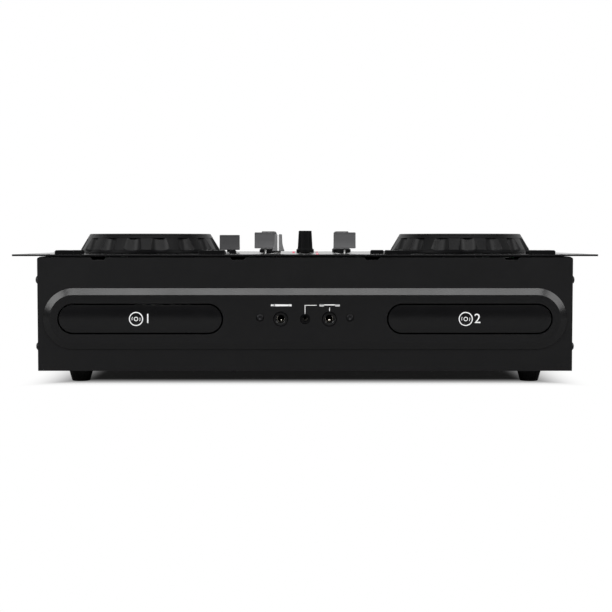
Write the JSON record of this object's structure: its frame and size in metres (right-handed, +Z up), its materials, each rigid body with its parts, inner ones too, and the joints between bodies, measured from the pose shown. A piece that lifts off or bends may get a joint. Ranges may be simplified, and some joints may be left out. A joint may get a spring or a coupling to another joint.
{
  "type": "tabletop dj cd player",
  "caption": "Tabletop DJ CD player and mixer: rack-width top plate with jog wheels, faders and knobs over a steel housing with motor-driven disc trays",
  "frame": {"origin": "middle of the footprint, on the surface the feet stand on", "axes": "+X to the right seen from the front, +Y to the back, +Z up; the tray doors face -Y"},
  "size_m": [0.4826, 0.3134, 0.1277],
  "materials": {
    "painted_steel": "satin black powder coat",
    "bezel_plastic": "satin moulded ABS",
    "black_plastic": "fine moulded texture",
    "jog_plastic": "satin",
    "gloss_black": "gloss",
    "key_rubber": "matte silicone",
    "foot_rubber": "matte",
    "cap_grey": "satin grey ABS",
    "knob_plastic": "soft-touch",
    "gear_plastic": "natural acetal",
    "nickel": "nickel plate",
    "zinc_steel": "zinc-plated",
    "circuit_board": "green solder mask",
    "display_glass": "dark tinted window"
  },
  "bodies": {
    "housing": {"chassis_pan": "painted_steel", "front_panel": "painted_steel", "front_bezel": "bezel_plastic", "top_panel": "painted_steel", "control_board": "circuit_board", "power_supply": "circuit_board", "rear_jack_block": "nickel", "power_inlet": "black_plastic", "foot_front_left": "foot_rubber", "foot_front_right": "foot_rubber", "foot_rear_left": "foot_rubber", "foot_rear_right": "foot_rubber", "mic_socket": "black_plastic", "phones_socket": "black_plastic", "phones_mini_socket": "black_plastic", "disc_drive_frame_left": "black_plastic", "disc_drive_frame_right": "black_plastic", "jog_base_left": "black_plastic", "jog_base_right": "black_plastic", "display_window_left": "display_glass", "display_window_right": "display_glass"},
    "power_rocker": {"power_switch": "gloss_black"},
    "tray_left": {"disc_tray_left": "black_plastic", "tray_door_left": "bezel_plastic"},
    "tray_right": {"disc_tray_right": "black_plastic", "tray_door_right": "bezel_plastic"},
    "gear_left": {"loading_gear_left": "gear_plastic"},
    "gear_right": {"loading_gear_right": "gear_plastic"},
    "hub_left": {"spindle_hub_left": "zinc_steel"},
    "hub_right": {"spindle_hub_right": "zinc_steel"},
    "sled_left": {"pickup_sled_left": "black_plastic"},
    "sled_right": {"pickup_sled_right": "black_plastic"},
    "jog_left": {"jog_wheel_left": "jog_plastic"},
    "jog_right": {"jog_wheel_right": "jog_plastic"},
    "cue_left": {"cue_button_left": "key_rubber"},
    "play_left": {"play_button_left": "key_rubber"},
    "play_right": {"play_button_right": "key_rubber"},
    "cue_right": {"cue_button_right": "key_rubber"},
    "shift": {"shift_button": "key_rubber"},
    "loop": {"loop_button": "key_rubber"},
    "eject_left": {"eject_button_left": "key_rubber"},
    "mode_left": {"mode_button_left": "key_rubber"},
    "skip_left": {"skip_button_left": "key_rubber"},
    "eject_right": {"eject_button_right": "key_rubber"},
    "mode_right": {"mode_button_right": "key_rubber"},
    "skip_right": {"skip_button_right": "key_rubber"},
    "channel_left": {"channel_fader_left": "cap_grey"},
    "channel_right": {"channel_fader_right": "cap_grey"},
    "pitch_left": {"pitch_fader_left": "cap_grey"},
    "pitch_right": {"pitch_fader_right": "cap_grey"},
    "cross": {"crossfader": "cap_grey"},
    "low_left": {"low_knob_left": "knob_plastic"},
    "mid_left": {"mid_knob_left": "knob_plastic"},
    "high_left": {"high_knob_left": "knob_plastic"},
    "phones_level": {"phones_level_knob": "knob_plastic"},
    "phones_mix": {"phones_mix_knob": "knob_plastic"},
    "master": {"master_knob": "knob_plastic"},
    "low_right": {"low_knob_right": "knob_plastic"},
    "mid_right": {"mid_knob_right": "knob_plastic"},
    "high_right": {"high_knob_right": "knob_plastic"}
  },
  "joints": [
    {"name": "power_rock", "type": "hinge", "parent": "housing", "child": "power_rocker", "pos_m": [0.17, 0.13795, 0.072], "axis": [-1, 0, 0], "range_deg": [0, 16]},
    {"name": "tray_left_slide", "type": "slide", "parent": "housing", "child": "tray_left", "axis": [0, -1, 0], "range_m": [0, 0.135]},
    {"name": "tray_right_slide", "type": "slide", "parent": "housing", "child": "tray_right", "axis": [0, -1, 0], "range_m": [0, 0.135]},
    {"name": "gear_left_spin", "type": "hinge", "parent": "housing", "child": "gear_left", "pos_m": [-0.0974, -0.12965, 0.0469], "axis": [0, 0, -1], "range_deg": [0, 650]},
    {"name": "gear_right_spin", "type": "hinge", "parent": "housing", "child": "gear_right", "pos_m": [0.1734, -0.12965, 0.0469], "axis": [0, 0, -1], "range_deg": [0, 650]},
    {"name": "hub_left_spin", "type": "hinge", "parent": "housing", "child": "hub_left", "pos_m": [-0.1354, -0.08595, 0.0443], "axis": [0, 0, 1], "continuous": true},
    {"name": "hub_right_spin", "type": "hinge", "parent": "housing", "child": "hub_right", "pos_m": [0.1354, -0.08595, 0.0443], "axis": [0, 0, 1], "continuous": true},
    {"name": "sled_left_slide", "type": "slide", "parent": "housing", "child": "sled_left", "axis": [0, 1, 0], "range_m": [0, 0.034]},
    {"name": "sled_right_slide", "type": "slide", "parent": "housing", "child": "sled_right", "axis": [0, 1, 0], "range_m": [0, 0.034]},
    {"name": "jog_left_spin", "type": "hinge", "parent": "housing", "child": "jog_left", "pos_m": [-0.1407, -0.03665, 0.115], "axis": [0, 0, 1], "continuous": true},
    {"name": "jog_right_spin", "type": "hinge", "parent": "housing", "child": "jog_right", "pos_m": [0.1407, -0.03665, 0.115], "axis": [0, 0, 1], "continuous": true},
    {"name": "cue_left_press", "type": "slide", "parent": "housing", "child": "cue_left", "axis": [0, 0, -1], "range_m": [0, 0.001], "stiffness_N_per_m": 300},
    {"name": "play_left_press", "type": "slide", "parent": "housing", "child": "play_left", "axis": [0, 0, -1], "range_m": [0, 0.001], "stiffness_N_per_m": 300},
    {"name": "play_right_press", "type": "slide", "parent": "housing", "child": "play_right", "axis": [0, 0, -1], "range_m": [0, 0.001], "stiffness_N_per_m": 300},
    {"name": "cue_right_press", "type": "slide", "parent": "housing", "child": "cue_right", "axis": [0, 0, -1], "range_m": [0, 0.001], "stiffness_N_per_m": 300},
    {"name": "shift_press", "type": "slide", "parent": "housing", "child": "shift", "axis": [0, 0, -1], "range_m": [0, 0.001], "stiffness_N_per_m": 200},
    {"name": "loop_press", "type": "slide", "parent": "housing", "child": "loop", "axis": [0, 0, -1], "range_m": [0, 0.001], "stiffness_N_per_m": 200},
    {"name": "eject_left_press", "type": "slide", "parent": "housing", "child": "eject_left", "axis": [0, 0, -1], "range_m": [0, 0.001], "stiffness_N_per_m": 200},
    {"name": "mode_left_press", "type": "slide", "parent": "housing", "child": "mode_left", "axis": [0, 0, -1], "range_m": [0, 0.001], "stiffness_N_per_m": 200},
    {"name": "skip_left_press", "type": "slide", "parent": "housing", "child": "skip_left", "axis": [0, 0, -1], "range_m": [0, 0.001], "stiffness_N_per_m": 200},
    {"name": "eject_right_press", "type": "slide", "parent": "housing", "child": "eject_right", "axis": [0, 0, -1], "range_m": [0, 0.001], "stiffness_N_per_m": 200},
    {"name": "mode_right_press", "type": "slide", "parent": "housing", "child": "mode_right", "axis": [0, 0, -1], "range_m": [0, 0.001], "stiffness_N_per_m": 200},
    {"name": "skip_right_press", "type": "slide", "parent": "housing", "child": "skip_right", "axis": [0, 0, -1], "range_m": [0, 0.001], "stiffness_N_per_m": 200},
    {"name": "channel_left_slide", "type": "slide", "parent": "housing", "child": "channel_left", "axis": [0, 1, 0], "range_m": [0, 0.045]},
    {"name": "channel_right_slide", "type": "slide", "parent": "housing", "child": "channel_right", "axis": [0, 1, 0], "range_m": [0, 0.045]},
    {"name": "pitch_left_slide", "type": "slide", "parent": "housing", "child": "pitch_left", "axis": [0, 1, 0], "range_m": [-0.03, 0.03]},
    {"name": "pitch_right_slide", "type": "slide", "parent": "housing", "child": "pitch_right", "axis": [0, 1, 0], "range_m": [-0.03, 0.03]},
    {"name": "cross_slide", "type": "slide", "parent": "housing", "child": "cross", "axis": [1, 0, 0], "range_m": [0, 0.045]},
    {"name": "low_left_turn", "type": "hinge", "parent": "housing", "child": "low_left", "pos_m": [-0.0342, -0.01365, 0.118], "axis": [0, 0, 1], "range_deg": [-150, 150]},
    {"name": "mid_left_turn", "type": "hinge", "parent": "housing", "child": "mid_left", "pos_m": [-0.0342, 0.01235, 0.118], "axis": [0, 0, 1], "range_deg": [-150, 150]},
    {"name": "high_left_turn", "type": "hinge", "parent": "housing", "child": "high_left", "pos_m": [-0.0342, 0.03835, 0.118], "axis": [0, 0, 1], "range_deg": [-150, 150]},
    {"name": "phones_level_turn", "type": "hinge", "parent": "housing", "child": "phones_level", "pos_m": [0, -0.01365, 0.118], "axis": [0, 0, 1], "range_deg": [-150, 150]},
    {"name": "phones_mix_turn", "type": "hinge", "parent": "housing", "child": "phones_mix", "pos_m": [0, 0.01235, 0.118], "axis": [0, 0, 1], "range_deg": [-150, 150]},
    {"name": "master_turn", "type": "hinge", "parent": "housing", "child": "master", "pos_m": [0, 0.03835, 0.118], "axis": [0, 0, 1], "range_deg": [-150, 150]},
    {"name": "low_right_turn", "type": "hinge", "parent": "housing", "child": "low_right", "pos_m": [0.0342, -0.01365, 0.118], "axis": [0, 0, 1], "range_deg": [-150, 150]},
    {"name": "mid_right_turn", "type": "hinge", "parent": "housing", "child": "mid_right", "pos_m": [0.0342, 0.01235, 0.118], "axis": [0, 0, 1], "range_deg": [-150, 150]},
    {"name": "high_right_turn", "type": "hinge", "parent": "housing", "child": "high_right", "pos_m": [0.0342, 0.03835, 0.118], "axis": [0, 0, 1], "range_deg": [-150, 150]}
  ],
  "couplings": [
    {"joint": "gear_left_spin", "follows": "tray_left_slide", "rad_per_m": 83.333},
    {"joint": "gear_right_spin", "follows": "tray_right_slide", "rad_per_m": 83.333}
  ]
}
